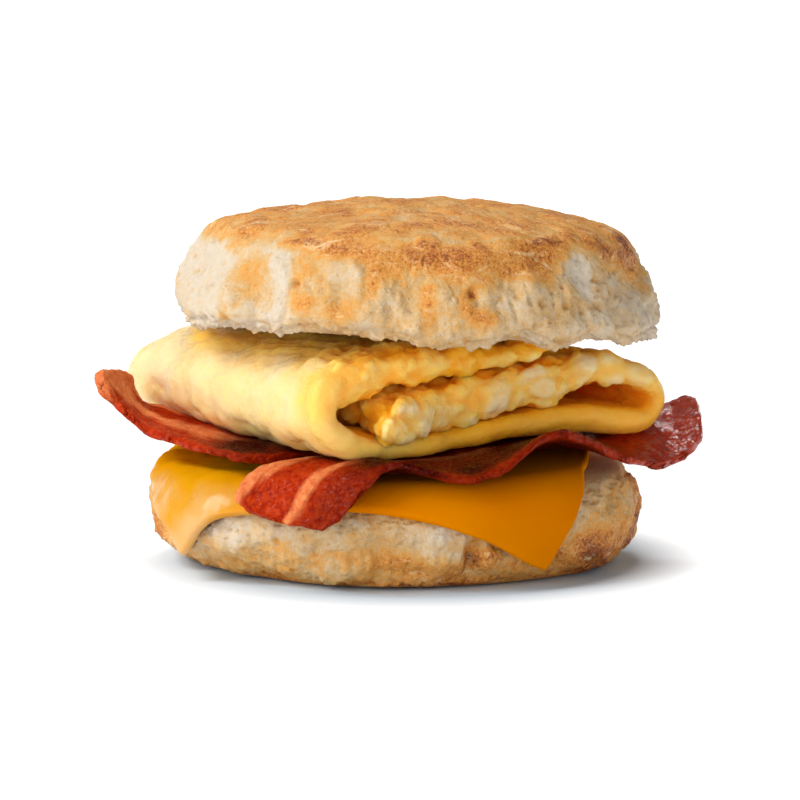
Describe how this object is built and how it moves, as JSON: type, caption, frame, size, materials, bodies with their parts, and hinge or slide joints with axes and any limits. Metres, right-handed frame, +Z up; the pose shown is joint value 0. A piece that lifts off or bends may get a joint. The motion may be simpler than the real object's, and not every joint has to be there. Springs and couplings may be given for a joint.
{
  "type": "breakfast sandwich",
  "caption": "Split biscuit filled with a folded egg sheet, bacon strips and a melted cheese slice that hangs over the lower half.",
  "frame": {"origin": "middle of the flat base of the lower biscuit half, on the surface it rests on", "axes": "+Z up through the stack, +X to the right along the bacon, -Y towards the pictured front"},
  "size_m": [0.1119, 0.1026, 0.0671],
  "materials": {
    "biscuit_bottom": "baked crumb, golden brown towards the base",
    "biscuit_top": "golden brown crust over pale flaky crumb",
    "cheese": "smooth, slightly glossy melted cheese",
    "bacon": "glossy fried meat with paler fat bands",
    "egg": "soft satin cooked egg"
  },
  "bodies": {
    "root": {"bottom_biscuit": "biscuit_bottom", "top_biscuit": "biscuit_top", "cheese_slice": "cheese", "bacon_front": "bacon", "bacon_left": "bacon", "egg_fold": "egg"}
  },
  "joints": []
}
